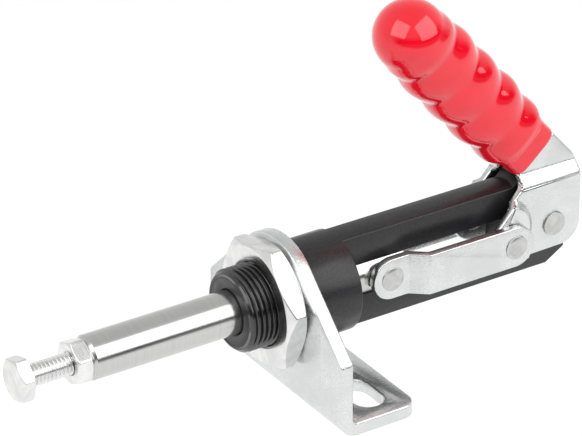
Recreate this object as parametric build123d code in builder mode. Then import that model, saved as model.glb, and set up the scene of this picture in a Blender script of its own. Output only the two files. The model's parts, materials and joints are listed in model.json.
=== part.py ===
from build123d import *
from math import acos, atan2, cos, radians, sin, sqrt, tan
import os

# Push-pull toggle clamp on an angle bracket. X is the push direction, Z is up.
# The origin lies on the underside of the foot, midway between the two bolt slots.
# Left is the +Y side. All lengths are in millimetres.

os.makedirs("parts", exist_ok=True)

# ---- angle bracket ----
axis_height = 36.0            # plunger axis above the underside of the foot
plate_thickness = 5.0
plate_half_width = 42.5
plate_top_radius = 24.0
plate_corner_drop = 7.5       # how far below the axis each flank meets its upright side
bend_inner_radius = 2.0
foot_length = 32.0            # from the front face of the plate to the rear edge of the foot
foot_corner_radius = 6.0
slot_width = 11.0
slot_travel = 8.4             # between the centres of a slot's two round ends
slot_spacing = 52.6
slot_setback = 18.8           # from the front face of the plate to the slots

# ---- body ----
body_diameter = 36.5
shoulder_length = 20.0
tongue_thickness = 10.8       # across the two milled flats
nose_diameter = 30.0
nose_length = 22.8
nose_chamfer = 0.8
bore_clearance = 0.05
bore_chamfer = 0.6
bore_end_gap = 2.0            # behind the plunger when it is drawn right back
pivot_setback = 106.6         # from the front face of the shoulder to the lever's pivot
pivot_rise = 1.5              # of the lever's pivot above the plunger axis
rear_overhang = 9.0           # of the body behind the lever's pivot
heel_chamfer_start = 1.3      # behind the pivot, on the underside
heel_chamfer_rise = 4.3
heel_chamfer_run = 7.0
pivot_boss_radius = 8.0
stop_pad_top = 20.4           # above the plunger axis
stop_pad_length = 11.2        # ahead of the pivot
stop_pad_ramp = 4.0
stop_gap = 0.3                # between the stop pad and the lever when clamped
nut_seat_clearance = 0.15     # of the nose in the hole of the bracket

# ---- large nut ----
nut_across_flats = 43.0
nut_thickness = 8.0
nut_turn = 10.8               # of one corner above the horizontal
nut_thread_clearance = 0.03
nut_trim = 0.4                # the turned corners start this far inside the flats
nut_mouth_chamfer = 1.2
hex_trim_angle = 30.0

# ---- plunger, screw and lock nut ----
plunger_diameter = 16.0
plunger_length = 126.7
plunger_tail = 9.1            # behind the cross pin
plunger_chamfer = 1.3
plunger_tail_chamfer = 0.8
screw_diameter = 8.0
screw_clearance = 0.05
screw_hole_depth = 40.0
screw_length = 42.0
screw_reach = 16.4            # thread showing between the lock nut and the head
screw_across_flats = 14.4
screw_head_height = 4.6
lock_nut_height = 6.0
hex_turn = 17.5               # of one corner of the head and the lock nut above the horizontal
lock_nut_trim = 0.2
screw_head_trim = 0.3
screw_end_chamfer = 1.0

# ---- linkage ----
crank_reach = 20.0            # from the lever's pivot forward to the link's rear pivot
crank_drop = 1.6              # the rear pivot lies this far below the lever's pivot
link_length = 49.6            # between the link's two pivots
link_width = 15.6
link_thickness = 3.0
link_gap = 0.4                # between the plunger's side and the front of the link
link_joggle = 4.8             # the rear of the link stands out this much further
joggle_front = 7.6            # from the front pivot to the start of the joggle
joggle_run = 6.0
pin_diameter = 7.0
pin_clearance = 0.04
pin_end_gap = 0.3             # between the cross pin and the links, the linkage's open pivot
rivet_head_diameter = 9.0
rivet_head_height = 0.8
rivet_inner_head = 0.9        # height of the lever rivets' inner heads
joggle_bend_radius = 2.0
washer_face_gap = 0.1         # under a rivet head that turns

# ---- lever ----
sheet_thickness = 3.0
cheek_inner = 8.0             # half the gap between the two cheeks
cheek_boss_gap = 0.3          # between the body's pivot boss and each cheek
emboss_height = 2.0
emboss_radius = 11.4
emboss_forward = 1.4          # of the pressed panel's centre from the link's pivot
emboss_up = 4.8
emboss_rounding = 1.2
bend_inside_radius = 1.2      # of the lever's bends
tang_half_width = 7.5         # outside, where the two cheeks are drawn together
cheek_rear = 11.6             # behind the pivot
cheek_bottom = 9.5            # below the pivot
cheek_corner_radius = 8.5
lobe_radius = 8.6             # of the cheek round the link's pivot
cheek_waist_x = 13.2          # the narrow place of the cheek's front edge
cheek_waist_z = 18.4
handle_lean = 48.7            # of the grip's axis above the push direction
grip_foot_x = 6.5             # centre of the grip's lower end, from the pivot
grip_foot_z = 28.0
tang_half_depth = 10.0        # behind the grip's axis
tang_front_depth = 9.7        # ahead of it
tang_neck_half_depth = 6.8    # inside the grip
tang_length = 54.8
tang_clearance = 0.1
waist_radius = 4.0
back_corner_radius = 8.0
web_step = 3.0
web_setback = 2.0             # of the web's lower end from the lever's back corner

# ---- grip ----
grip_length = 74.6            # from its lower end to the centre of the ball
ball_radius = 13.2
cuff_half_depth = 10.7
cuff_half_width = 9.9
cuff_length = 9.3
cuff_corner_radius = 3.0
cuff_edge_radius = 1.8
ball_overlap = 6.3            # of the last ridge and the ball, back from the ball's centre
ridge_count = 5
ridge_crest_radius = 14.3
ridge_valley_radius = 12.9
ridge_flank = 3.4             # from a valley to the flat top of a ridge
grip_half_width = 12.0        # across the two smooth sides

# ---- working margin: how far cutting shapes reach past what they cut ----
cut_margin = 1.0

# ---- derived places ----
plate_front_x = slot_setback
plate_rear_x = plate_front_x - plate_thickness
nose_face_x = plate_rear_x + nose_length
nut_front_x = plate_front_x + nut_thickness
shoulder_rear_x = plate_rear_x - shoulder_length
body_radius = body_diameter / 2
tongue_half = tongue_thickness / 2
tongue_edge_z = sqrt(body_radius**2 - tongue_half**2)

pivot_x = plate_rear_x - pivot_setback
pivot_z = axis_height + pivot_rise
crank_x = pivot_x + crank_reach
crank_z = pivot_z - crank_drop
crank_offset = crank_z - axis_height
link_span_x = sqrt(link_length**2 - crank_offset**2)
cross_pin_x = crank_x + link_span_x

# half a turn of the lever carries the link's rear pivot to the far side of its own
drawn_crank_x = pivot_x - crank_reach
drawn_crank_offset = pivot_rise + crank_drop
drawn_cross_pin_x = drawn_crank_x + sqrt(link_length**2 - drawn_crank_offset**2)
plunger_travel = cross_pin_x - drawn_cross_pin_x

plunger_radius = plunger_diameter / 2
plunger_tail_x = cross_pin_x - plunger_tail
plunger_face_x = plunger_tail_x + plunger_length
bore_radius = plunger_radius + bore_clearance
bore_end_x = plunger_tail_x - plunger_travel - bore_end_gap
lock_nut_front_x = plunger_face_x + lock_nut_height
screw_head_back_x = lock_nut_front_x + screw_reach
screw_tip_x = screw_head_back_x + screw_head_height

link_front_inner = plunger_radius + link_gap
link_front_outer = link_front_inner + link_thickness
link_rear_inner = link_front_inner + link_joggle
link_rear_outer = link_rear_inner + link_thickness
cheek_outer = cheek_inner + sheet_thickness
pin_hole_radius = pin_diameter / 2 + pin_clearance

# Where the cheeks draw together the sheet slopes in at 45 degrees. On such a slope
# half-width and height add up to a constant, and the slope's inner face clears the
# upper edges of the stop pad, which sets that constant.
pad_rise = stop_pad_top - pivot_rise
slope_inner_sum = tongue_half + pad_rise + stop_gap * sqrt(2)
slope_outer_sum = slope_inner_sum + sheet_thickness * sqrt(2)

side_view = Plane(origin=(pivot_x, 0, pivot_z), x_dir=(1, 0, 0), z_dir=(0, -1, 0))
lean = radians(handle_lean)
grip_up = Vector(cos(lean), 0, sin(lean))
grip_origin = Vector(pivot_x + grip_foot_x, 0, pivot_z + grip_foot_z)
# in this plane local x runs up the grip and local y towards the lever's back edge
grip_side = Plane(origin=grip_origin, x_dir=grip_up, z_dir=(0, -1, 0))
grip_end = Plane(origin=grip_origin, x_dir=(0, 1, 0), z_dir=grip_up)


def along_x(x):
    """A cross-section plane at x, centred on the plunger axis, facing +X."""
    return Plane(origin=(x, 0, axis_height), x_dir=(0, 1, 0), z_dir=(1, 0, 0))


def touch(point, centre, radius, side):
    """Where a straight edge from a point touches a circle, seen anticlockwise (1) or not (-1)."""
    away = Vector(*point) - Vector(*centre)
    angle = atan2(away.Y, away.X) + side * acos(radius / away.length)
    return (centre[0] + radius * cos(angle), centre[1] + radius * sin(angle))


def finish(part, label):
    """Name a finished piece and write it."""
    part.label = label
    export_step(part, "parts/" + label + ".step")


# ---- angle bracket: one bent plate ----
corner_z = axis_height - plate_corner_drop
flank_foot = (plate_half_width, -plate_corner_drop)
tangent_y, tangent_rise = touch(flank_foot, (0, 0), plate_top_radius, 1)
tangent_z = axis_height + tangent_rise
foot_rear_x = plate_front_x - foot_length
plate_top_z = axis_height + plate_top_radius

with BuildPart() as bracket:
    with BuildSketch(Plane.XZ):
        with BuildLine():
            Polyline(
                (plate_front_x, 0),
                (plate_front_x, plate_top_z),
                (plate_rear_x, plate_top_z),
                (plate_rear_x, plate_thickness),
                (foot_rear_x, plate_thickness),
                (foot_rear_x, 0),
                close=True,
            )
        make_face()
    extrude(amount=plate_half_width, both=True)
    long_edges = bracket.edges().filter_by(Axis.Y)
    fillet(long_edges.sort_by_distance((plate_rear_x, 0, plate_thickness))[0], bend_inner_radius)
    long_edges = bracket.edges().filter_by(Axis.Y)
    fillet(
        long_edges.sort_by_distance((plate_front_x, 0, 0))[0],
        bend_inner_radius + plate_thickness,
    )
    with BuildSketch(Plane.YZ.offset(foot_rear_x)):
        Polygon(
            (-plate_half_width, 0),
            (plate_half_width, 0),
            (plate_half_width, corner_z),
            (tangent_y, tangent_z),
            (-tangent_y, tangent_z),
            (-plate_half_width, corner_z),
            align=None,
        )
        with Locations((0, axis_height)):
            Circle(plate_top_radius)
    extrude(amount=foot_length, mode=Mode.INTERSECT)
    foot_corners = bracket.edges().filter_by(Axis.Z).group_by(Axis.X)[0]
    fillet(foot_corners, foot_corner_radius)
    with BuildSketch(Plane.XY):
        with Locations((0, slot_spacing / 2), (0, -slot_spacing / 2)):
            SlotCenterToCenter(slot_travel, slot_width, rotation=90)
    extrude(amount=plate_thickness, mode=Mode.SUBTRACT)
    with BuildSketch(along_x(plate_rear_x)):
        Circle(nose_diameter / 2 + nut_seat_clearance)
    extrude(amount=plate_thickness, mode=Mode.SUBTRACT)
finish(bracket.part, "mounting_bracket")

# ---- body: threaded nose, shoulder and a tongue milled flat on both sides ----
rear_x = pivot_x - rear_overhang
heel_z = -tongue_edge_z - pivot_rise
pad_ramp_z = body_radius - pivot_rise - cut_margin

with BuildPart() as body:
    with BuildSketch(along_x(rear_x)):
        Circle(body_radius)
    extrude(amount=plate_rear_x - rear_x)
    with BuildSketch(along_x(plate_rear_x)):
        Circle(nose_diameter / 2)
    extrude(amount=nose_length)
    chamfer(body.edges().filter_by(GeomType.CIRCLE).sort_by(Axis.X)[-1], nose_chamfer)
    # the stop pad stands on the tongue, ahead of the pivot
    with BuildSketch(side_view):
        with BuildLine():
            Polyline(
                (0, 0),
                (0, pad_rise),
                (stop_pad_length, pad_rise),
                (stop_pad_length + stop_pad_ramp, pad_ramp_z),
                (stop_pad_length + stop_pad_ramp, 0),
                close=True,
            )
        make_face()
    extrude(amount=tongue_half, both=True)
    # both flats, which break into the bore and so open the side windows
    for side in (1, -1):
        with BuildSketch(Plane.XZ.offset(-side * tongue_half)):
            with Locations(((rear_x + shoulder_rear_x) / 2, axis_height)):
                Rectangle(shoulder_rear_x - rear_x, 3 * body_radius)
            with Locations((pivot_x, pivot_z)):
                Circle(pivot_boss_radius, mode=Mode.SUBTRACT)
        extrude(amount=-side * body_radius, mode=Mode.SUBTRACT)
        with BuildSketch(Plane.XZ.offset(-side * (cheek_inner - cheek_boss_gap))):
            with Locations((pivot_x, pivot_z)):
                Circle(pivot_boss_radius + cut_margin)
        extrude(amount=-side * body_radius, mode=Mode.SUBTRACT)
    # the heel is cut off below, and rounded about the pivot above
    with BuildSketch(side_view):
        Polygon(
            (-heel_chamfer_start, 2 * heel_z),
            (-heel_chamfer_start, heel_z),
            (-heel_chamfer_start - 2 * heel_chamfer_run, heel_z + 2 * heel_chamfer_rise),
            (-heel_chamfer_start - 2 * heel_chamfer_run, 2 * heel_z),
            align=None,
        )
    extrude(amount=body_radius, both=True, mode=Mode.SUBTRACT)
    with BuildSketch(side_view):
        Rectangle(2 * rear_overhang, 2 * body_radius, align=(Align.MAX, Align.MIN))
        Circle(pad_rise, mode=Mode.SUBTRACT)
    extrude(amount=body_radius, both=True, mode=Mode.SUBTRACT)
    with BuildSketch(along_x(nose_face_x)):
        Circle(bore_radius)
    extrude(amount=bore_end_x - nose_face_x, mode=Mode.SUBTRACT)
    bore_mouth = body.edges().filter_by(GeomType.CIRCLE).group_by(Axis.X)[-1].sort_by(SortBy.RADIUS)
    chamfer(bore_mouth[0], bore_chamfer)
    with BuildSketch(side_view):
        Circle(pin_hole_radius)
    extrude(amount=body_radius, both=True, mode=Mode.SUBTRACT)
finish(body.part, "clamp_body")


# ---- turned and hexagonal pieces on the plunger axis ----
plunger_axis = Axis((0, 0, axis_height), (1, 0, 0))
half_section = Plane(origin=(0, 0, axis_height), x_dir=(1, 0, 0), z_dir=(0, -1, 0))


def turn(*profile, mode=Mode.ADD):
    """Revolve a half section, given as (x, radius) points, about the plunger axis."""
    with BuildSketch(half_section) as section:
        Polygon((profile[0][0], 0), *profile, (profile[-1][0], 0), align=None)
    revolve(section.sketch, axis=plunger_axis, mode=mode)


def hexagon(x, height, across_flats, corner_turn):
    """A hexagonal prism that runs from x towards the tip."""
    with BuildSketch(along_x(x)) as section:
        RegularPolygon(across_flats / 2, 6, major_radius=False, rotation=corner_turn)
    extrude(section.sketch, amount=height)


def trim_corners(rear_x, front_x, across_flats, rear_trim, front_trim):
    """Turn the hexagon's corners off at its rear and front faces, 30 degrees from each."""
    corner = across_flats / sqrt(3) + cut_margin
    rear_flat = across_flats / 2 - rear_trim
    front_flat = across_flats / 2 - front_trim
    slope = tan(radians(hex_trim_angle))
    turn(
        (rear_x, rear_flat),
        (rear_x + (corner - rear_flat) * slope, corner),
        (front_x - (corner - front_flat) * slope, corner),
        (front_x, front_flat),
        mode=Mode.INTERSECT,
    )


with BuildPart() as mounting_nut:
    hexagon(plate_front_x, nut_thickness, nut_across_flats, nut_turn)
    trim_corners(plate_front_x, nut_front_x, nut_across_flats, nut_trim, nut_trim)
    with BuildSketch(along_x(plate_front_x)):
        Circle(nose_diameter / 2 + nut_thread_clearance)
    extrude(amount=nut_thickness, mode=Mode.SUBTRACT)
    nut_mouth = mounting_nut.edges().filter_by(GeomType.CIRCLE).group_by(SortBy.RADIUS)[0]
    chamfer(nut_mouth, nut_mouth_chamfer)
finish(mounting_nut.part, "mounting_nut")

with BuildPart() as plunger:
    turn(
        (plunger_tail_x, plunger_radius - plunger_tail_chamfer),
        (plunger_tail_x + plunger_tail_chamfer, plunger_radius),
        (plunger_face_x - plunger_chamfer, plunger_radius),
        (plunger_face_x, plunger_radius - plunger_chamfer),
    )
    with BuildSketch(along_x(plunger_face_x)):
        Circle(screw_diameter / 2 + screw_clearance)
    extrude(amount=-screw_hole_depth, mode=Mode.SUBTRACT)
    with BuildSketch(half_section):
        with Locations((cross_pin_x, 0)):
            Circle(pin_hole_radius)
    extrude(amount=plunger_radius, both=True, mode=Mode.SUBTRACT)
finish(plunger.part, "plunger")

with BuildPart() as lock_nut:
    hexagon(plunger_face_x, lock_nut_height, screw_across_flats, hex_turn)
    trim_corners(plunger_face_x, lock_nut_front_x, screw_across_flats, lock_nut_trim, lock_nut_trim)
    with BuildSketch(along_x(plunger_face_x)):
        Circle(screw_diameter / 2 + screw_clearance)
    extrude(amount=lock_nut_height, mode=Mode.SUBTRACT)
finish(lock_nut.part, "lock_nut")

screw_end_x = screw_head_back_x - screw_length
with BuildPart() as spindle_screw:
    hexagon(screw_head_back_x, screw_head_height, screw_across_flats, hex_turn)
    trim_corners(screw_head_back_x, screw_tip_x, screw_across_flats, 0, screw_head_trim)
    turn(
        (screw_end_x, screw_diameter / 2 - screw_end_chamfer),
        (screw_end_x + screw_end_chamfer, screw_diameter / 2),
        (screw_head_back_x, screw_diameter / 2),
    )
finish(spindle_screw.part, "spindle_screw")


# ---- pins and rivets ----
def pin_plane(x, y, z):
    """A plane at a pin's section, facing +Y."""
    return Plane(origin=(x, y, z), x_dir=(-1, 0, 0), z_dir=(0, 1, 0))


def shank(x, z, start, end):
    """A round shank between two places across the clamp."""
    with BuildSketch(pin_plane(x, start, z)) as section:
        Circle(pin_diameter / 2)
    extrude(section.sketch, amount=end - start)


def head(x, z, seat, side, height):
    """A rivet head that stands out from its seat, towards +Y or -Y."""
    with BuildSketch(pin_plane(x, seat, z)) as section:
        Circle(rivet_head_diameter / 2)
    extrude(section.sketch, amount=side * height)


pivot_seat = cheek_outer + washer_face_gap
with BuildPart() as pivot_pin:
    shank(pivot_x, pivot_z, -pivot_seat, pivot_seat)
    head(pivot_x, pivot_z, pivot_seat, 1, rivet_head_height)
    head(pivot_x, pivot_z, -pivot_seat, -1, rivet_head_height)
finish(pivot_pin.part, "pivot_pin")

cross_pin_half = link_front_inner - pin_end_gap
with BuildPart() as plunger_pin:
    shank(cross_pin_x, axis_height, -cross_pin_half, cross_pin_half)
finish(plunger_pin.part, "plunger_pin")

panel_inner = cheek_inner + emboss_height
for name, side in (("left", 1), ("right", -1)):
    lever_seat = side * (link_rear_outer + washer_face_gap)
    with BuildPart() as lever_rivet:
        shank(crank_x, crank_z, side * panel_inner, lever_seat)
        head(crank_x, crank_z, lever_seat, side, rivet_head_height)
        head(crank_x, crank_z, side * panel_inner, -side, rivet_inner_head)
    finish(lever_rivet.part, "lever_rivet_" + name)

    with BuildPart() as link_rivet:
        shank(cross_pin_x, axis_height, side * link_front_inner, side * link_front_outer)
        head(cross_pin_x, axis_height, side * link_front_outer, side, rivet_head_height)
    finish(link_rivet.part, "link_rivet_" + name)

# ---- links: flat bars set outwards towards the rear, to pass the plunger and the lever ----
link_direction = Vector(link_span_x, 0, -crank_offset)
link_side = Plane(origin=(crank_x, 0, crank_z), x_dir=link_direction, z_dir=(0, -1, 0))
link_top = Plane(origin=(crank_x, 0, crank_z), x_dir=link_direction, z_dir=link_side.y_dir)
joggle_front_x = link_length - joggle_front
joggle_rear_x = joggle_front_x - joggle_run
# a bent sheet keeps its thickness when the outer corners lie this far ahead of the inner ones
joggle_shift = link_thickness * tan(atan2(link_joggle, joggle_run) / 2)
link_end = link_width / 2

for name, side in (("left", 1), ("right", -1)):
    with BuildPart() as link:
        with BuildSketch(link_top):
            Polygon(
                (-2 * link_end, side * link_rear_inner),
                (joggle_rear_x, side * link_rear_inner),
                (joggle_front_x, side * link_front_inner),
                (link_length + 2 * link_end, side * link_front_inner),
                (link_length + 2 * link_end, side * link_front_outer),
                (joggle_front_x + joggle_shift, side * link_front_outer),
                (joggle_rear_x + joggle_shift, side * link_rear_outer),
                (-2 * link_end, side * link_rear_outer),
                align=None,
            )
            bends = vertices().filter_by(lambda corner: -link_end < corner.X < link_length)
            fillet(bends, joggle_bend_radius)
        extrude(amount=link_width, both=True)
        with BuildSketch(link_side):
            with Locations((link_length / 2, 0)):
                SlotCenterToCenter(link_length, link_width)
        extrude(amount=2 * link_rear_outer, both=True, mode=Mode.INTERSECT)
        with BuildSketch(link_side):
            with Locations((0, 0), (link_length, 0)):
                Circle(pin_hole_radius)
        extrude(amount=2 * link_rear_outer, both=True, mode=Mode.SUBTRACT)
    finish(link.part, "link_" + name)

# ---- lever: a pressed channel whose cheeks straddle the body ----
tang_inner = tang_half_width - sheet_thickness
section_foot = -2 * cheek_bottom
section_top = grip_foot_z + tang_length
section_reach = crank_reach + tang_length
crank = (crank_reach, -crank_drop)
panel = (crank_reach + emboss_forward, emboss_up - crank_drop)
# 45 degree walls keep the sheet's thickness when the inner outline is this much smaller
emboss_shrink = sheet_thickness * (sqrt(2) - 1)


def side_point(along, across):
    """A place given along and across the grip, in the side view's own coordinates."""
    x = grip_foot_x + along * cos(lean) - across * sin(lean)
    z = grip_foot_z + along * sin(lean) + across * cos(lean)
    return (x, z)


# the back edge of the tang runs straight down to the cheek's upright rear edge
back_run = (grip_foot_x - tang_half_depth * sin(lean) + cheek_rear) / cos(lean)
back_corner = side_point(-back_run, tang_half_depth)
cheek_foot = (-cheek_rear, -cheek_bottom)
waist = (cheek_waist_x, cheek_waist_z)


def pressed_panel(wall, side, shrink):
    """The raised panel round the link's pivot, as a 45 degree frustum on one cheek face."""
    radius = emboss_radius - shrink
    with BuildPart() as form:
        with BuildSketch(pin_plane(pivot_x, side * wall, pivot_z)):
            with Locations((-panel[0], panel[1])):
                Circle(radius)
                Rectangle(2 * radius, panel[1] - section_foot, align=(Align.CENTER, Align.MAX))
        extrude(amount=side * emboss_height, taper=45)
        fillet(form.edges().group_by(Axis.Y)[-1 if side > 0 else 0], emboss_rounding)
    return form.part


def section_corners(side, tang_face, cheek_face, slope_sum):
    """One face of the bent sheet in cross-section, from the cheek's foot to the tang's top."""
    return (
        (side * cheek_face, section_foot),
        (side * cheek_face, slope_sum - cheek_face),
        (side * tang_face, slope_sum - tang_face),
        (side * tang_face, section_top),
    )


bend_outside_radius = bend_inside_radius + sheet_thickness
with BuildPart() as lever:
    for side in (1, -1):
        outer_face = section_corners(side, tang_half_width, cheek_outer, slope_outer_sum)
        inner_face = section_corners(side, tang_inner, cheek_inner, slope_inner_sum)
        with BuildSketch(Plane.YZ.offset(pivot_x - 2 * cheek_rear)):
            with Locations((0, pivot_z)):
                Polygon(*outer_face, *reversed(inner_face), align=None)
            for corner, radius in (
                (outer_face[1], bend_outside_radius),
                (outer_face[2], bend_inside_radius),
                (inner_face[1], bend_inside_radius),
                (inner_face[2], bend_outside_radius),
            ):
                bend = vertices().sort_by_distance((corner[0], corner[1] + pivot_z, 0))[0]
                fillet(bend, radius)
        extrude(amount=2 * cheek_rear + section_reach)
        add(pressed_panel(cheek_outer, side, 0))
        add(pressed_panel(cheek_inner, side, emboss_shrink), mode=Mode.SUBTRACT)
    # the web that joins the cheeks along the back of the tang
    with BuildSketch(grip_side):
        Polygon(
            (web_setback - back_run, tang_half_depth),
            (tang_length, tang_half_depth),
            (tang_length, tang_neck_half_depth - sheet_thickness),
            (0, tang_neck_half_depth - sheet_thickness),
            (-web_step, tang_half_depth - sheet_thickness),
            (web_setback - back_run, tang_half_depth - sheet_thickness),
            align=None,
        )
    extrude(amount=tang_half_width, both=True)
    # the outline seen from the side
    with BuildSketch(side_view):
        Polygon(
            cheek_foot,
            touch(cheek_foot, crank, lobe_radius, 1),
            crank,
            touch(waist, crank, lobe_radius, -1),
            waist,
            side_point(-tang_clearance, -tang_front_depth),
            side_point(-tang_clearance, -tang_neck_half_depth),
            side_point(tang_length, -tang_neck_half_depth),
            side_point(tang_length, tang_neck_half_depth),
            side_point(-tang_clearance, tang_neck_half_depth),
            side_point(-tang_clearance, tang_half_depth),
            back_corner,
            align=None,
        )
        fillet(vertices().sort_by_distance((*cheek_foot, 0))[0], cheek_corner_radius)
        fillet(vertices().sort_by_distance((*back_corner, 0))[0], back_corner_radius)
        fillet(vertices().sort_by_distance((*waist, 0))[0], waist_radius)
        with Locations(crank):
            Circle(lobe_radius)
    extrude(amount=2 * cheek_outer, both=True, mode=Mode.INTERSECT)
    with BuildSketch(side_view):
        with Locations((0, 0), crank):
            Circle(pin_hole_radius)
    extrude(amount=2 * cheek_outer, both=True, mode=Mode.SUBTRACT)
finish(lever.part, "handle_lever")

# ---- grip: a ridged moulding with a ball end and a cuff round the tang ----
ridge_pitch = (grip_length - ball_overlap - cuff_length) / ridge_count
grip_axis = Axis(grip_origin, grip_up)

with BuildPart() as grip:
    with BuildSketch(grip_side):
        with BuildLine():
            Polyline((cuff_length, ridge_valley_radius), (cuff_length, 0), (grip_length, 0))
            Polyline(
                (grip_length, 0),
                (grip_length, ball_radius),
                (cuff_length + ridge_count * ridge_pitch, ridge_valley_radius),
            )
            for ridge in range(ridge_count):
                start = cuff_length + ridge * ridge_pitch
                Polyline(
                    (start, ridge_valley_radius),
                    (start + ridge_flank, ridge_crest_radius),
                    (start + ridge_pitch - ridge_flank, ridge_crest_radius),
                    (start + ridge_pitch, ridge_valley_radius),
                )
        make_face()
    revolve(axis=grip_axis)
    # the two smooth sides
    with BuildSketch(grip_end):
        Rectangle(2 * grip_half_width, 3 * ridge_crest_radius)
    extrude(amount=grip_length, mode=Mode.INTERSECT)
    with BuildSketch(grip_end):
        RectangleRounded(2 * cuff_half_width, 2 * cuff_half_depth, cuff_corner_radius)
    extrude(amount=2 * cuff_length)
    fillet(grip.faces().sort_by(grip_axis)[0].edges(), cuff_edge_radius)
    with Locations(grip_side.from_local_coords((grip_length, 0))):
        Sphere(ball_radius)
    with BuildSketch(grip_end):
        Rectangle(
            2 * (tang_half_width + tang_clearance),
            2 * (tang_neck_half_depth + tang_clearance),
        )
    extrude(amount=tang_length + tang_clearance, mode=Mode.SUBTRACT)
    # the moulding also fills the tang's channel
    with BuildSketch(grip_end):
        with Locations((0, -sheet_thickness / 2 - tang_clearance)):
            Rectangle(
                2 * (tang_inner - tang_clearance),
                2 * tang_neck_half_depth - sheet_thickness,
            )
    extrude(amount=tang_length)
finish(grip.part, "handle_grip")
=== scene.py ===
# %% [markdown]
# # Dressing a push-pull toggle clamp
# The solids of the clamp come in as a fixed frame. This lesson gives each of them the
# finish of the real thing: bright zinc on the pressed sheet, blackened steel on the turned
# body, ground steel on the plunger and a dipped vinyl grip. Where the solid is too plain,
# as on threads, hexagons, rivets and the grip, a new surface is worked out by formula.

# %% Load the frame
import json
from math import cos, pi, radians, sin
import bpy
import bmesh
import numpy as np
from mathutils import Matrix, Vector


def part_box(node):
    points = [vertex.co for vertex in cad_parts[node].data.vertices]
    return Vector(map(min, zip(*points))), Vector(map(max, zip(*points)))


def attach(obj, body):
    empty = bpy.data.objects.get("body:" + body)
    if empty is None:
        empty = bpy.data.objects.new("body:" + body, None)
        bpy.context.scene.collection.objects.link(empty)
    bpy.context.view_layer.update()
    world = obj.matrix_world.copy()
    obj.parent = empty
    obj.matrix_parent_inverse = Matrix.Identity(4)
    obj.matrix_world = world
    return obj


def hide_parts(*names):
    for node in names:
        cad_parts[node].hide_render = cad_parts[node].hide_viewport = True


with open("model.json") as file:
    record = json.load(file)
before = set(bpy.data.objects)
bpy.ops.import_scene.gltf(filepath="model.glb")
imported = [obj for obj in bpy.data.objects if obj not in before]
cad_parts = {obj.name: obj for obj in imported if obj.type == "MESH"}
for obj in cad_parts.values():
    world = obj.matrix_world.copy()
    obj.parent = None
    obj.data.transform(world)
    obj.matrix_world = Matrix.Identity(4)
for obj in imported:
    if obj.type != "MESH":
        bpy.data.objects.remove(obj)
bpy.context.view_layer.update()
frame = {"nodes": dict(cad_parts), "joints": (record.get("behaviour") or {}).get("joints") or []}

# %% [markdown]
# ## The camera
# A long lens a good metre away keeps the clamp's parallel edges nearly parallel, which is
# how makers show hardware. It could be aimed with a constraint, but a camera that has its
# own matrix stays where it is put. The three columns of the matrix are the directions to
# the right, up and backwards, and a very small roll levels the picture.

# %% Camera
MM = 0.001
azimuth, elevation, roll = radians(147.418), radians(28.138), radians(-0.291)
back = Vector((sin(azimuth) * cos(elevation), -cos(azimuth) * cos(elevation), sin(elevation)))
level_right = Vector((0, 0, 1)).cross(back).normalized()
level_up = back.cross(level_right)
right = level_right * cos(roll) + level_up * sin(roll)
up = level_up * cos(roll) - level_right * sin(roll)

camera_data = bpy.data.cameras.new("long_lens")
camera_data.sensor_width = 36
camera_data.lens = 225
camera = bpy.data.objects.new("camera", camera_data)
bpy.context.scene.collection.objects.link(camera)
camera_place = Matrix.Translation((0.6028, 0.9251, 0.6524))
camera.matrix_world = camera_place @ Matrix((right, up, back)).transposed().to_4x4()
bpy.context.scene.camera = camera
print("camera stands", round(camera.location.length, 2), "m from the foot")

# %% [markdown]
# ## The studio
# Bright metal shows its surroundings more than itself, so the room is part of the finish.
# A photographer stands such a part on a light table whose white sheet rises behind it. On
# the camera's side the sheet ends, and the room is dark up to the sills of two windows.
# That dark horizon draws the thin lines along every round bar, and the raised sheet keeps
# the far side of each bar an even grey.


# %% Node helpers
def fill(tree, made, values):
    """Fills a node's inputs: a socket is linked, anything else is typed in."""
    for key, value in values.items():
        if isinstance(value, bpy.types.NodeSocket):
            tree.links.new(value, made.inputs[key])
        else:
            made.inputs[key].default_value = value


def add(tree, kind, values=None, **settings):
    """A node with its settings, and its inputs given as values or as sockets to link."""
    made = tree.nodes.new(kind)
    for key, value in settings.items():
        setattr(made, key, value)
    fill(tree, made, values or {})
    return made


def sums(tree, operation, first, second):
    """The socket of one sum on two numbers or sockets."""
    return add(tree, "ShaderNodeMath", {0: first, 1: second}, operation=operation).outputs[0]


def remap(tree, value, ends, **settings):
    """The socket of a value moved from one range to another, given as Map Range inputs."""
    return add(tree, "ShaderNodeMapRange", {"Value": value, **ends}, **settings).outputs[0]


def blend(tree, share, first, second):
    """The colour socket that runs from the first colour to the second."""
    return add(tree, "ShaderNodeMix", {0: share, 6: first, 7: second}, data_type="RGBA").outputs[2]


# %% Room
scene = bpy.context.scene
scene.view_settings.view_transform = "Standard"
world = bpy.data.worlds.new("studio")
world.use_nodes = True
scene.world = world
room = world.node_tree
room.nodes.clear()
direction = add(room, "ShaderNodeTexCoord").outputs["Generated"]
split = add(room, "ShaderNodeSeparateXYZ", {0: direction})
window_wall = add(room, "ShaderNodeValToRGB", {0: split.outputs["Z"]})
raised_sheet = remap(room, split.outputs["Z"], {"To Min": 0.85, "To Max": 0.66})
window_side = remap(room, split.outputs["Y"], {"From Min": -0.05, "From Max": 0.35})
seen = blend(room, window_side, raised_sheet, window_wall.outputs[0])
sky = add(room, "ShaderNodeBackground", {"Color": seen})
add(room, "ShaderNodeOutputWorld", {"Surface": sky.outputs[0]})
steps = [(0.0, 0.05), (0.15, 0.06), (0.28, 0.45), (0.4, 0.62), (0.7, 0.68), (1.0, 0.66)]
ramp = window_wall.color_ramp
while len(ramp.elements) < len(steps):
    ramp.elements.new(0.5)
for element, (height, grey) in zip(ramp.elements, steps):
    element.position = height
    element.color = (grey, grey, grey * 1.01, 1)
print("room: ramp of", len(steps), "greys")

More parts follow.
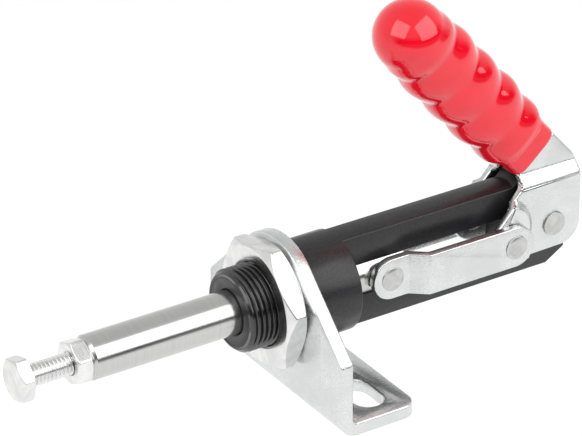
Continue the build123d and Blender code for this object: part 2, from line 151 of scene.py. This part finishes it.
# %% [markdown]
# ## The light table
# A clamp like this is bolted to the edge of a bench, and its grip swings down past that
# edge. So the table lies a little lower than the grip's end ever comes, and the whole
# grip can be seen however the lever stands. The table glows, and its glow dies away on
# the camera's side, where the sheet ends.

# %% Light table
table_half, table_drop = 9.0, 64 * MM
table_ends = {"From Min": 0.6, "From Max": 0.9}
floor_data = bpy.data.meshes.new("floor")
corners = [(-table_half, -table_half), (table_half, -table_half),
           (table_half, table_half), (-table_half, table_half)]
floor_data.from_pydata([(x, y, 0) for x, y in corners], [], [(0, 1, 2, 3)])
floor = bpy.data.objects.new("floor", floor_data)
scene.collection.objects.link(floor)
floor.location.z = -table_drop
paper = bpy.data.materials.new("light_table")
paper.use_nodes = True
tree = paper.node_tree
paper_shader = tree.nodes["Principled BSDF"]
place = add(tree, "ShaderNodeSeparateXYZ", {0: add(tree, "ShaderNodeTexCoord").outputs["Object"]})
edge = remap(tree, place.outputs["Y"], table_ends, interpolation_type="SMOOTHSTEP")
glow = remap(tree, edge, {"To Min": 0.72, "To Max": 0.02})
fill(tree, paper_shader, {
    "Base Color": (0.3, 0.3, 0.3, 1), "Roughness": 0.9, "Specular IOR Level": 0.1,
    "Emission Color": (1, 1, 1, 1), "Emission Strength": glow,
})
floor_data.materials.append(paper)
print("the light table ends on the camera's side")


# %% Windows
ball = Vector((-0.037, 0, 0.1215))
window_distance, window_radiance = 0.8, 1.9


def window(name, toward, width, height):
    """A lit window that faces the grip's ball: its power follows from how bright it looks."""
    light = bpy.data.lights.new(name, "AREA")
    light.shape = "RECTANGLE"
    light.size, light.size_y = width, height
    light.energy = window_radiance * pi * width * height
    lamp = bpy.data.objects.new(name, light)
    scene.collection.objects.link(lamp)
    lamp.location = ball + toward.normalized() * window_distance
    lamp.rotation_euler = toward.to_track_quat("Z", "Y").to_euler()


window("window_left", right * -0.52 + up * 0.26 + back * 0.8, 0.72, 0.66)
window("window_right", right * 0.72 + up * 0.29 + back * 0.58, 0.96, 0.8)

# %% [markdown]
# ## Surfaces from formulas
# A turned or moulded piece is a grid of points: one direction runs along its profile, the
# other goes round it. The whole grid is worked out at once as arrays. Neighbours in the
# grid make the faces, and the last column joins the first. Where the profile starts or
# ends on the axis, a fan of triangles closes the pole.


# %% Grid helper
def grid_piece(name, points, body, closed_profile=False, poles=()):
    """Skins a grid of points, shape (rows, columns, 3), whose columns go round.

    Faces join each point with the next in its row and column. A closed profile joins the
    last row to the first; otherwise the two poles given close the first and last rows.
    """
    rows, columns = points.shape[:2]
    index = np.arange(rows * columns).reshape(rows, columns)
    beside = np.roll(index, -1, axis=1)
    last = rows if closed_profile else rows - 1
    above, above_beside = np.roll(index, -1, axis=0)[:last], np.roll(beside, -1, axis=0)[:last]
    quads = np.stack([index[:last], beside[:last], above_beside, above], axis=-1).reshape(-1, 4)
    vertices = points.reshape(-1, 3)
    fans = []
    if poles:
        vertices = np.vstack([vertices, np.array(poles)])
        first, final = rows * columns, rows * columns + 1
        fans = np.stack([beside[0], index[0], np.full(columns, first)], axis=-1).tolist()
        fans += np.stack([index[-1], beside[-1], np.full(columns, final)], axis=-1).tolist()
    a, b, c = (vertices[quads[:, i]] for i in (0, 1, 2))
    inside_out = np.einsum("ij,ij->i", a - vertices.mean(axis=0), np.cross(b - a, c - a)).sum() < 0
    faces = quads.tolist() + fans
    if inside_out:
        faces = [face[::-1] for face in faces]
    mesh = bpy.data.meshes.new(name)
    mesh.from_pydata(vertices.tolist(), [], faces)
    mesh.polygons.foreach_set("use_smooth", np.ones(len(mesh.polygons), dtype=bool))
    mesh.update()
    piece = bpy.data.objects.new(name, mesh)
    scene.collection.objects.link(piece)
    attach(piece, body)
    print(name, "has", len(mesh.polygons), "faces")
    return piece


def full_turn(columns):
    """The angles of a ring of columns."""
    return np.linspace(0, 2 * pi, columns, endpoint=False)


def round_x(x, radius, columns):
    """Points round the plunger's axis: x along it, radius out from it, angle from +Y up."""
    angle = full_turn(columns)
    x, radius = np.broadcast_arrays(x, radius)
    x = np.broadcast_to(x.reshape(len(x), -1), (len(x), columns))
    radius = np.broadcast_to(radius.reshape(len(radius), -1), (len(radius), columns))
    return np.stack([x, radius * np.cos(angle), axis_z + radius * np.sin(angle)], axis=-1)


def middle(node):
    """The middle of a CAD node's box."""
    low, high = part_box(node)
    return (low + high) / 2


axis_z = middle("plunger").z
print("plunger axis is", round(axis_z / MM, 2), "mm above the foot's underside")

# %% [markdown]
# ## Threads
# A screw thread is a triangular ridge wound round a cylinder. At any point its height
# depends only on how far along one pitch the point lies, and that place moves on by a
# full pitch for each turn. So one formula gives the whole helix without modelling a
# single coil. Crests are cut flat and roots are filled a little, as rolled threads are.


# %% Thread profile
thread_depth = 0.61
crest_from, flank_share = 0.86, 0.62


def thread_radius(x, angle, outer, pitch):
    """Radius of a thread: outer at the crests, less thread_depth pitches at the roots.

    The phase is x / pitch less angle / turn. A triangle wave of the phase, clipped at both
    ends, gives the flat crest and the filled root.
    """
    phase = (x / pitch - angle / (2 * pi)) % 1
    wave = np.abs(phase - 0.5) * 2
    sunk = np.clip((crest_from - wave) / flank_share, 0, 1)
    return outer - thread_depth * pitch * sunk


def soft_min(a, b, sharpness):
    """The smaller of two radii, with the edge between them rounded: a power mean."""
    return (a ** -sharpness + b ** -sharpness) ** (-1 / sharpness)


# %% Nose thread
nose_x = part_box("clamp_body")[1].x
nut_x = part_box("mounting_nut")[0].x
plate = 5.0 * MM
nose_radius, nose_core, nose_front = 15.0 * MM, 12.5 * MM, 13.6 * MM
nose_pitch, nose_bevel, nose_bevel_slope = 2.0 * MM, 1.5 * MM, 0.9
shoulder_x = nut_x - plate
columns = 240
plain_x = np.array([shoulder_x + 0.02 * MM, nut_x + 4 * MM])
thread_x = np.arange(nut_x + 4.1 * MM, nose_x, 0.1 * MM)
ridge = thread_radius(thread_x[:, None], full_turn(columns)[None, :], nose_radius, nose_pitch)
fade = np.clip((thread_x - thread_x[0]) / nose_pitch, 0, 1)[:, None]
ridge = nose_radius - (nose_radius - ridge) * fade
past_bevel = np.clip(thread_x - nose_x + nose_bevel, 0, None)
ridge = np.minimum(ridge, (nose_radius - past_bevel * nose_bevel_slope)[:, None])
rows_x = np.concatenate([plain_x[:1], plain_x, thread_x, [nose_x, nose_x]])[:, None]
inside = np.full((1, columns), nose_core - 0.05 * MM)
rows_r = np.vstack([
    inside,
    np.full((2, columns), nose_radius),
    ridge,
    np.full((1, columns), nose_front),
    inside,
])
nose_points = round_x(rows_x, rows_r, columns)
nose_thread = grid_piece("nose_thread", nose_points, "root", closed_profile=True)

# %% [markdown]
# ## The turned body
# The body is one bar: a threaded nose, a round shoulder and a tongue milled flat on both
# sides. Its solid already has that shape, so a copy of its mesh is kept, and only the plain
# nose is turned down to a core that hides inside the thread. Real milled edges are never
# knife sharp, and a narrow bevel catches the thin line of light along them.
#
# A bevel without its overlap clamp rounds every edge by the same radius, but beside very
# short edges it can push a point out. Such points are moved back onto the solid's box.


# %% Copy and soften
def own_copy(node, name):
    """A merged copy of a CAD node's mesh as a new piece that replaces it."""
    source = frame["nodes"][node]
    mesh = source.data.copy()
    mesh.name = name
    form = bmesh.new()
    form.from_mesh(mesh)
    bmesh.ops.remove_doubles(form, verts=form.verts, dist=1e-6)
    inner = [edge for edge in form.edges if len(edge.link_faces) == 2]
    flat = [edge for edge in inner if edge.calc_face_angle() < radians(0.5)]
    bmesh.ops.dissolve_edges(form, edges=flat, use_verts=False)
    form.to_mesh(mesh)
    form.free()
    mesh.materials.clear()
    piece = bpy.data.objects.new(name, mesh)
    scene.collection.objects.link(piece)
    return piece


def break_edges(piece, node, width, fold_width=None, segments=3):
    """Rounds every edge sharper than 25 degrees, and a fold at the side of the sheet by more.

    A weight on each edge gives its share of the widest radius. The rounded mesh is then
    kept as it is and held inside the box of its own solid. Known fault: some faces of the
    lever, the body, the bracket and the left link cross each other after it, on the lever
    mostly because the overlap clamp is off.
    """
    widest = fold_width or width
    form = bmesh.new()
    form.from_mesh(piece.data)
    share = form.edges.layers.float.new("bevel_weight_edge")
    for edge in form.edges:
        if len(edge.link_faces) == 2 and edge.calc_face_angle() > radians(25):
            low_y, high_y = sorted(abs(face.normal.y) for face in edge.link_faces)
            fold = fold_width and edge.is_convex and high_y > 0.98 and 0.2 < low_y < 0.9
            edge[share] = 1.0 if fold else width / widest
    form.to_mesh(piece.data)
    form.free()
    piece.data.shade_smooth()
    bevel = piece.modifiers.new("broken_edges", "BEVEL")
    bevel.width = widest
    bevel.segments = segments
    bevel.limit_method = "WEIGHT"
    bevel.use_clamp_overlap = False
    bevel.harden_normals = True
    graph = bpy.context.evaluated_depsgraph_get()
    rounded = bpy.data.meshes.new_from_object(piece.evaluated_get(graph))
    piece.modifiers.clear()
    piece.data = rounded
    spots = np.empty(len(rounded.vertices) * 3)
    rounded.vertices.foreach_get("co", spots)
    low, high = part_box(node)
    rounded.vertices.foreach_set("co", np.clip(spots.reshape(-1, 3), low, high).ravel())


body_shell = own_copy("clamp_body", "body_shell")
body_points = np.empty(len(body_shell.data.vertices) * 3)
body_shell.data.vertices.foreach_get("co", body_points)
body_points = body_points.reshape(-1, 3)
out_y, out_z = body_points[:, 1], body_points[:, 2] - axis_z
reach = np.hypot(out_y, out_z)
past_shoulder = body_points[:, 0] > shoulder_x - 0.01 * MM
on_nose = past_shoulder & (reach > 14 * MM) & (reach < nose_radius + 0.05 * MM)
shrink = np.where(on_nose, nose_core / np.maximum(reach, 1e-9), 1)
body_points[:, 1] = out_y * shrink
body_points[:, 2] = axis_z + out_z * shrink
body_shell.data.vertices.foreach_set("co", body_points.ravel())
break_edges(body_shell, "clamp_body", 0.45 * MM)
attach(body_shell, "root")
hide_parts("clamp_body")
print("body_shell: turned down", int(on_nose.sum()), "nose points")

# %% [markdown]
# ## Hexagons
# A nut is a six-sided bar whose corners were turned off on a lathe, which leaves a curved
# line on every flat. Instead of cutting solids, take the smaller of two radii at each
# point: the distance to the flats at that angle, and the cone of the lathe tool at that
# place along the axis. The power mean rounds the edge between the two as plating does.


# %% Hexagon formula
cone_slope = 0.5774
cone_sharpness, edge_sharpness = 60, 90


def flats_radius(angle, across_flats, turn, sharpness=60):
    """Radius of a hexagon at an angle: half the width over a power sum of six cosines."""
    facing = np.cos(angle[:, None] - turn - pi / 6 - np.arange(6) * pi / 3)
    total = (np.clip(facing, 0, None) ** sharpness).sum(axis=1)
    return across_flats / 2 * total ** (-1 / sharpness)


def hexagon_rows(x0, x1, across_flats, turn, angle, trim0, trim1, count=56):
    """Side wall of a hexagon from x0 to x1: the power mean of flats and two 30 degree cones."""
    along = (1 - np.cos(np.linspace(0, pi, count))) / 2
    x = x0 + (x1 - x0) * along
    rear = across_flats / 2 - trim0 + (x - x0) / cone_slope
    front = across_flats / 2 - trim1 + (x1 - x) / cone_slope
    cone = soft_min(rear, front, cone_sharpness)[:, None]
    return x, soft_min(cone, flats_radius(angle, across_flats, turn)[None, :], edge_sharpness)


def nut(name, node, body, across_flats, turn, trim, bore, mouth, face, columns, count):
    """A nut in its node's place: the hexagon outside, then both faces, mouths and the bore."""
    low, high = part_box(node)
    angle = full_turn(columns)
    wall_x, wall_r = hexagon_rows(low.x, high.x, across_flats, turn, angle, trim, trim, count)
    inner_x = np.array([high.x, high.x, high.x - mouth, low.x + mouth, low.x, low.x])
    inner_r = np.array([face, bore + mouth, bore, bore, bore + mouth, face])
    rows_x = np.concatenate([wall_x, inner_x])[:, None]
    rows_r = np.vstack([wall_r, np.repeat(inner_r[:, None], columns, axis=1)])
    points = round_x(rows_x, rows_r, columns)
    piece = grid_piece(name, points, body, closed_profile=True)
    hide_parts(node)
    return piece


# %% Large nut
large_nut = nut(
    "large_nut", "mounting_nut", "root", across_flats=43 * MM, turn=radians(10.8),
    trim=0.35 * MM, bore=nose_radius + 0.03 * MM, mouth=1.3 * MM, face=20.6 * MM,
    columns=360, count=56,
)

# %% Adjusting screw
head_low, head_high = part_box("spindle_screw")
screw_hex, screw_turn = 14.4 * MM, radians(17.5)
screw_radius, screw_pitch = 4.0 * MM, 1.5 * MM
screw_end, screw_neck, head_face, head_middle = 2.9 * MM, 3.9 * MM, 6.2 * MM, 2.0 * MM
head_x = head_high.x - 4.6 * MM
columns = 120
angle = full_turn(columns)
shank_x = np.arange(head_low.x + 1.0 * MM, head_x - 0.1 * MM, 0.125 * MM)
shank_r = thread_radius(shank_x[:, None], angle[None, :], screw_radius, screw_pitch)
wall_x, wall_r = hexagon_rows(
    head_x, head_high.x, screw_hex, screw_turn, angle, -0.6 * MM, 0.3 * MM, 40
)
ring = np.ones((1, columns))
rows_x = np.concatenate([[head_low.x], shank_x, [head_x], wall_x, [head_high.x] * 2])[:, None]
rows_r = np.vstack([
    ring * screw_end, shank_r, ring * screw_neck, wall_r, ring * head_face, ring * head_middle,
])
adjusting_screw = grid_piece(
    "adjusting_screw", round_x(rows_x, rows_r, columns), "spindle",
    poles=[(head_low.x, 0, axis_z), (head_high.x, 0, axis_z)],
)
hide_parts("spindle_screw")

# %% Lock nut
jam_nut = nut(
    "jam_nut", "lock_nut", "plunger", across_flats=screw_hex, turn=radians(24),
    trim=0.25 * MM, bore=screw_radius + 0.05 * MM, mouth=0.5 * MM, face=6.3 * MM,
    columns=120, count=40,
)

# %% [markdown]
# ## Rivets
# A rivet head that was spun down in a press is a low dome, rolls over at its rim and keeps
# a faint ring where the tool pressed. The lever's own pivot is pressed flatter. All of that
# is a profile of radius against height, swept round the rivet's own axis, which lies
# across the clamp.


# %% Rivet formula
rim_radius, shank_radius, rim_roll = 4.5 * MM, 3.5 * MM, 0.25 * MM
outer_head, inner_head = 0.8 * MM, 0.9 * MM


def spun_head(height, dome):
    """Profile of a spun head from its seat to near its centre, as (radius, height) rows.

    The rim is a quarter of a superellipse, and the top is a dome with a faint ring:
    height less dome times the square of the share of the way out.
    """
    around = np.linspace(0, pi / 2, 12)
    rim_r = rim_radius - rim_roll + rim_roll * np.cos(around) ** 0.8
    rim_h = height - dome - rim_roll * 0.8 + rim_roll * 0.8 * np.sin(around) ** 0.8
    share = np.linspace(0.96, 0.12, 16)
    ring_mark = 0.02 * MM * np.exp(-((share - 0.62) / 0.06) ** 2)
    dome_r = (rim_radius - rim_roll) * share
    dome_h = height - dome * share ** 2 - ring_mark
    return np.concatenate([[rim_radius], rim_r, dome_r]), np.concatenate([[0], rim_h, dome_h])


def rivet(name, node, body, shank_from, shank_to, heads, dome=0.58 * MM, columns=72):
    """A rivet along Y: each head is (seat, side, height), and the shank joins the two ends."""
    centre = middle(node)
    radii, across = [], []
    for seat, side, height in heads:
        head_r, head_h = spun_head(height, dome)
        head_y = seat + side * head_h
        if len(heads) == 2 and not radii:
            head_r, head_y = head_r[::-1], head_y[::-1]
        radii.append(head_r)
        across.append(head_y)
    if len(heads) == 1:
        radii.insert(0, np.array([shank_radius * 0.2, shank_radius, shank_radius]))
        across.insert(0, np.array([shank_from, shank_from, shank_to]))
    else:
        radii.insert(1, np.array([shank_radius, shank_radius]))
        across.insert(1, np.array([shank_from, shank_to]))
    radius, y = np.concatenate(radii), np.concatenate(across)
    angle = full_turn(columns)
    grid = np.stack([
        centre.x + radius[:, None] * np.cos(angle),
        np.repeat(y[:, None], columns, axis=1),
        centre.z + radius[:, None] * np.sin(angle),
    ], axis=-1)
    ends = [(centre.x, y[0], centre.z), (centre.x, y[-1], centre.z)]
    piece = grid_piece(name, grid, body, poles=ends)
    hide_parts(node)
    return piece


def tip_and_foot(node, side):
    """The outer and the inner end of a rivet that lies on one side of the clamp."""
    low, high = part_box(node)
    return (high.y, low.y) if side > 0 else (low.y, high.y)


# %% Make the five rivets
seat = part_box("pivot_pin")[1].y - outer_head
heads = [(-seat, -1, outer_head), (seat, 1, outer_head)]
rivets = [rivet("pivot_rivet", "pivot_pin", "root", -seat, seat, heads, dome=0.22 * MM)]
for name, side in (("left", 1), ("right", -1)):
    node = "lever_rivet_" + name
    tip, foot = tip_and_foot(node, side)
    outer, inner = tip - side * outer_head, foot + side * inner_head
    heads = [(inner, -side, inner_head), (outer, side, outer_head)]
    rivets.append(rivet("crank_rivet_" + name, node, "handle", inner, outer, heads))
    node = "link_rivet_" + name
    tip, foot = tip_and_foot(node, side)
    outer = tip - side * outer_head
    rivets.append(
        rivet("drive_rivet_" + name, node, "links", foot, outer, [(outer, side, outer_head)])
    )

# %% [markdown]
# ## The dipped grip
# The grip is a bar with two smooth sides, a ball at its end and a squared cuff where the
# lever goes in. Four waves run down its front and back and fade out towards the smooth
# sides, so each side ends in a row of soft triangles. It was dipped in hot vinyl, so
# nothing on it is sharp.

# %% Grip frame
lever_joint = next(j for j in frame["joints"] if j["name"] == "lever_swing")
pivot = Vector(lever_joint["pos_m"])
lean = radians(48.7)
grip_foot = np.array(pivot) + np.array([6.5, 0, 28.0]) * MM
grip_along = np.array([cos(lean), 0, sin(lean)])
grip_back = np.array([-sin(lean), 0, cos(lean)])
grip_side = np.array([0, 1.0, 0])

# all in mm along the grip or out from its middle
cuff, ball_at, ball_radius = 8.0, 74.6, 13.2
top_trough, pitch, rounding = 65.7, 15.3, 0.22
cuff_half_width, cuff_half_depth, cuff_lip = 9.9, 10.7, 1.8
print("troughs at", [round(top_trough - pitch * wave, 1) for wave in range(4)], "mm up the grip")


# %% Grip formula
def smooth_step(x, start, end):
    """Rises from 0 to 1 between start and end with level ends: 3t^2 - 2t^3."""
    t = np.clip((x - start) / (end - start), 0, 1)
    return t * t * (3 - 2 * t)


def superellipse(angle, half_width, half_depth, power):
    """Radius of a superellipse: one over the power norm of cosine / width and sine / depth."""
    across = np.abs(np.cos(angle) / half_width) ** power
    along = np.abs(np.sin(angle) / half_depth) ** power
    return (across + along) ** (-1 / power)


def grip_radius(s, angle):
    """Radius of the grip, in mm, at s along it and at an angle round it.

    The bar is a superellipse less a wave of s: an arched sine whose cusps are rounded as a
    hyperbola. The wave is deepest at the back and front and almost fades out on the side.
    The cuff is a squarer superellipse with a rounded lip, and the ball is a circle of s.
    """
    half_depth = 13.5 + 0.9 * smooth_step(s, 12, 30) + 0.2 * smooth_step(s, 40, 60)
    half_width = 11.8 + 1.2 * smooth_step(s, 60, 74)
    arch = np.sqrt(np.sin(pi * (s - top_trough) / pitch) ** 2 + rounding ** 2) - rounding
    trough = 1 - arch / (np.sqrt(1 + rounding ** 2) - rounding)
    deep = 0.3 + 1.1 * smooth_step(np.abs(np.sin(angle)), 0, 0.95)
    bar = superellipse(angle, half_width, half_depth, 2.3) - deep * trough
    bar = bar + (ball_radius - bar) * smooth_step(s, top_trough - 1, ball_at)
    dome = np.sqrt(np.maximum(ball_radius ** 2 - np.clip(s - ball_at, 0, None) ** 2, 0.0004))
    bar = np.where(s > ball_at, dome, bar)
    past_lip = np.clip(cuff_lip - s, 0, None)
    lip = cuff_lip - np.sqrt(np.maximum(cuff_lip ** 2 - past_lip ** 2, 0))
    square = superellipse(angle, cuff_half_width, cuff_half_depth, 5) - lip
    rise = 0.5 * smooth_step(s, cuff - 0.6, cuff + 0.5) + 0.5 * smooth_step(s, cuff, cuff + 4)
    return square + (bar - square) * rise


# %% Grip
angle = full_turn(240)[None, :]
shaft_s = np.linspace(0, ball_at, 360)
dome_s = ball_at + ball_radius * np.sin(np.linspace(0, pi / 2, 40)[1:-1])
s = np.concatenate([shaft_s, dome_s])[:, None]
radius = grip_radius(s, angle) * MM
outward = np.cos(angle)[..., None] * grip_side + np.sin(angle)[..., None] * grip_back
grip_points = grip_foot + s[..., None] * MM * grip_along + radius[..., None] * outward
grip_poles = [grip_foot, grip_foot + (ball_at + ball_radius) * MM * grip_along]
dipped_grip = grid_piece("dipped_grip", grip_points, "handle", poles=grip_poles)
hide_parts("handle_grip")

# %% [markdown]
# ## Pressed sheet
# The bracket, the lever and the links are stamped from sheet, so their solids are right as
# they stand. What a stamping has and a plain solid lacks is a rolled edge: the punch draws
# the edge over on one side. Merged copies with a bevel on every sharp edge show it. The
# wider bevel is meant for folds, but it catches only two edges of the bracket and thirty
# of the lever, 8 mm from its middle plane.

# %% Bracket, lever and links
sheet_pieces = []
for node, name, body, width, fold_width in (
    ("mounting_bracket", "stamped_bracket", "root", 0.7, 1.3),
    ("handle_lever", "stamped_lever", "handle", 0.75, 1.5),
    ("link_left", "stamped_link_left", "links", 0.4, 0.4),
    ("link_right", "stamped_link_right", "links", 0.4, 0.4),
):
    piece = own_copy(node, name)
    break_edges(piece, node, width * MM, fold_width * MM)
    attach(piece, body)
    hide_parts(node)
    sheet_pieces.append(piece)
print("stamped pieces:", len(sheet_pieces))

# %% [markdown]
# ## Shared effects
# Three effects are used by several finishes, so each is a node group with named sockets:
# the fine grain that tumbling and plating leave, the cloudy tone of a handled surface, and
# the rings that a lathe leaves round the plunger's axis. All of them read Object
# coordinates, so they stay put when the clamp moves.


# %% Group helper
def group(name, inputs, outputs):
    """A new shader group with float or vector sockets, and its two end nodes."""
    tree = bpy.data.node_groups.new(name, "ShaderNodeTree")
    for title, kind in inputs:
        tree.interface.new_socket(title, in_out="INPUT", socket_type=kind)
    for title, kind in outputs:
        tree.interface.new_socket(title, in_out="OUTPUT", socket_type=kind)
    return tree, tree.nodes.new("NodeGroupInput"), tree.nodes.new("NodeGroupOutput")


FLOAT, VECTOR = "NodeSocketFloat", "NodeSocketVector"

def noise(tree, vector, scale, **values):
    """The socket of a noise texture at a vector and a scale."""
    inputs = {"Vector": vector, "Scale": scale, **values}
    return add(tree, "ShaderNodeTexNoise", inputs).outputs[0]


def stretch_range(low, high):
    """Map Range inputs that spread a narrow range over 0 to 1."""
    return {"From Min": low, "From Max": high}


# %% Grain group
grain, given, give = group(
    "tumbled_grain",
    [("Vector", VECTOR), ("Size", FLOAT), ("Pits", FLOAT)],
    [("Height", FLOAT), ("Fleck", FLOAT)],
)
place, size, pits = (given.outputs[title] for title in ("Vector", "Size", "Pits"))
per_metre = sums(grain, "DIVIDE", 1.0, size)
coarse = noise(grain, place, per_metre, Detail=4.0, Roughness=0.6)
cells = add(
    grain, "ShaderNodeTexVoronoi", {"Vector": place, "Scale": per_metre}, feature="F1"
).outputs["Distance"]
height = sums(grain, "ADD", coarse, sums(grain, "MULTIPLY", cells, pits))
fleck = remap(grain, coarse, stretch_range(0.38, 0.62))
fill(grain, give, {"Height": height, "Fleck": fleck})
print("group:", grain.name)

# %% Clouds group
clouds, given, give = group(
    "handled_clouds", [("Vector", VECTOR), ("Size", FLOAT)], [("Cloud", FLOAT), ("Smear", FLOAT)]
)
place = given.outputs["Vector"]
per_metre = sums(clouds, "DIVIDE", 1.0, given.outputs["Size"])
soft = noise(clouds, place, per_metre, Detail=3.0, Distortion=0.6)
drawn_out = add(
    clouds, "ShaderNodeVectorMath", {0: place, 1: (0.25, 1.0, 1.6)}, operation="MULTIPLY"
).outputs[0]
streaks = noise(clouds, drawn_out, per_metre, Detail=6.0, Roughness=0.7)
fill(clouds, give, {
    "Cloud": remap(clouds, soft, stretch_range(0.35, 0.65)),
    "Smear": remap(clouds, streaks, stretch_range(0.4, 0.7)),
})
print("group:", clouds.name)

# %% Lathe rings group
rings, given, give = group(
    "lathe_rings",
    [("Vector", VECTOR), ("Along", FLOAT), ("Out", FLOAT)],
    [("Height", FLOAT), ("Ring", FLOAT)],
)
parts = add(rings, "ShaderNodeSeparateXYZ", {0: given.outputs["Vector"]}).outputs
lift = sums(rings, "SUBTRACT", parts["Z"], axis_z)
across = add(rings, "ShaderNodeCombineXYZ", {"Y": parts["Y"], "Z": lift}).outputs[0]
reach = add(rings, "ShaderNodeVectorMath", {0: across}, operation="LENGTH").outputs["Value"]
line = add(rings, "ShaderNodeCombineXYZ", {
    "X": sums(rings, "MULTIPLY", parts["X"], given.outputs["Along"]),
    "Y": sums(rings, "MULTIPLY", reach, given.outputs["Out"]),
}).outputs[0]
scratch = noise(rings, line, 1.0, Detail=5.0, Roughness=0.7)
ring_tone = remap(rings, scratch, stretch_range(0.35, 0.65))
fill(rings, give, {"Height": scratch, "Ring": ring_tone})
print("group:", rings.name)


# %% [markdown]
# ## Finishes
# Each finish is one Principled shader fed by those groups: a pair of close colours mixed
# by the clouds, a roughness that varies with them, and a bump from the grain or the
# rings. What is the same all over the surface is typed straight into the shader.


# %% Finish helper
def finish(name, pieces, dark, light, rough, bump, effects, metallic=1.0, extra=None):
    """A Principled material on some pieces, from two colours and a range of roughness.

    effects(tree, place) gives three sockets: the tone between the colours, the mask of the
    roughness, and the height for the bump, which is (strength, distance).
    """
    material = bpy.data.materials.new(name)
    material.use_nodes = True
    tree = material.node_tree
    place = add(tree, "ShaderNodeTexCoord").outputs["Object"]
    tone, mask, height = effects(tree, place)
    relief = {"Height": height, "Strength": bump[0], "Distance": bump[1]}
    fill(tree, tree.nodes["Principled BSDF"], {
        "Base Color": blend(tree, tone, (*dark, 1), (*light, 1)),
        "Roughness": remap(tree, mask, {"To Min": rough[0], "To Max": rough[1]}),
        "Normal": add(tree, "ShaderNodeBump", relief).outputs[0],
        "Metallic": metallic, **(extra or {}),
    })
    for piece in pieces:
        piece.data.materials.clear()
        piece.data.materials.append(material)
    print("finish:", material.name)


def use_group(tree, group_tree, values):
    """Places a shared group, whose tree is set before its inputs are filled."""
    made = add(tree, "ShaderNodeGroup", node_tree=group_tree)
    fill(tree, made, values)
    return made.outputs


# %% Zinc on sheet
def sheet_effects(tree, place):
    """Tumbled grain for the bump and clouds for tone and gloss."""
    fine = use_group(tree, grain, {"Vector": place, "Size": 0.5 * MM, "Pits": 0.35})
    cloudy = use_group(tree, clouds, {"Vector": place, "Size": 12 * MM})
    tone = sums(tree, "MULTIPLY", fine["Fleck"], cloudy["Cloud"])
    return tone, cloudy["Smear"], fine["Height"]


finish(
    "zinc_on_sheet", sheet_pieces, (0.66, 0.67, 0.67), (0.80, 0.81, 0.81),
    rough=(0.19, 0.31), bump=(0.5, 0.15 * MM), effects=sheet_effects,
)


# %% Zinc on hardware
def hardware_effects(tree, place):
    """Faint turning rings under the plating, with clouds for tone."""
    turned = use_group(tree, rings, {"Vector": place, "Along": 2500.0, "Out": 3500.0})
    cloudy = use_group(tree, clouds, {"Vector": place, "Size": 6 * MM})
    return cloudy["Cloud"], turned["Ring"], turned["Height"]


finish(
    "zinc_on_hardware", (large_nut, adjusting_screw, jam_nut),
    (0.72, 0.72, 0.72), (0.85, 0.85, 0.84),
    rough=(0.16, 0.27), bump=(0.25, 0.06 * MM), effects=hardware_effects,
)


# %% Ground steel
def ground_effects(tree, place):
    """Close rings from the grinding wheel, and fine grain along them."""
    turned = use_group(tree, rings, {"Vector": place, "Along": 9000.0, "Out": 200.0})
    cloudy = use_group(tree, clouds, {"Vector": place, "Size": 20 * MM})
    return turned["Ring"], cloudy["Smear"], turned["Height"]


ground_pieces = [frame["nodes"][node] for node in ("plunger", "plunger_pin")]
finish(
    "ground_steel", ground_pieces, (0.52, 0.52, 0.51), (0.62, 0.62, 0.61),
    rough=(0.16, 0.24), bump=(0.2, 0.03 * MM), effects=ground_effects,
)


# %% Blackened steel
def black_effects(tree, place):
    """The open grain of blackened steel, with clouds in its gloss where it was handled."""
    fine = use_group(tree, grain, {"Vector": place, "Size": 0.5 * MM, "Pits": 0.5})
    cloudy = use_group(tree, clouds, {"Vector": place, "Size": 9 * MM})
    return fine["Fleck"], cloudy["Smear"], fine["Height"]


finish(
    "blackened_steel", (body_shell,), (0.007, 0.007, 0.008), (0.024, 0.024, 0.026),
    rough=(0.28, 0.4), bump=(0.3, 0.08 * MM), effects=black_effects,
    metallic=0.0, extra={"Specular IOR Level": 0.45},
)


# %% Blackened thread
def thread_effects(tree, place):
    """Turning rings under an oily film."""
    turned = use_group(tree, rings, {"Vector": place, "Along": 6000.0, "Out": 4000.0})
    cloudy = use_group(tree, clouds, {"Vector": place, "Size": 9 * MM})
    return cloudy["Cloud"], turned["Ring"], turned["Height"]


finish(
    "blackened_thread", (nose_thread,), (0.004, 0.004, 0.005), (0.012, 0.012, 0.013),
    rough=(0.1, 0.16), bump=(0.15, 0.03 * MM), effects=thread_effects,
    metallic=0.0, extra={"Specular IOR Level": 0.9},
)


# %% Rivet steel
def rivet_effects(tree, place):
    """Fine grain from the heading tool, with clouds for tone and gloss."""
    fine = use_group(tree, grain, {"Vector": place, "Size": 0.4 * MM, "Pits": 0.4})
    cloudy = use_group(tree, clouds, {"Vector": place, "Size": 3 * MM})
    return cloudy["Cloud"], cloudy["Cloud"], fine["Height"]


finish(
    "spun_rivet_steel", rivets, (0.5, 0.5, 0.49), (0.6, 0.6, 0.59),
    rough=(0.16, 0.24), bump=(0.15, 0.04 * MM), effects=rivet_effects,
)


# %% Dipped vinyl
def vinyl_effects(tree, place):
    """Slow waves where the dip ran, and a little cloud in the gloss."""
    cloudy = use_group(tree, clouds, {"Vector": place, "Size": 11 * MM})
    fine = use_group(tree, grain, {"Vector": place, "Size": 6 * MM, "Pits": 0.0})
    return cloudy["Cloud"], fine["Fleck"], cloudy["Cloud"]


finish(
    "dipped_vinyl", (dipped_grip,), (0.76, 0.001, 0.014), (0.84, 0.002, 0.02),
    rough=(0.06, 0.1), bump=(0.12, 0.1 * MM), effects=vinyl_effects,
    metallic=0.0, extra={"Coat Weight": 0.6, "Coat Roughness": 0.05},
)
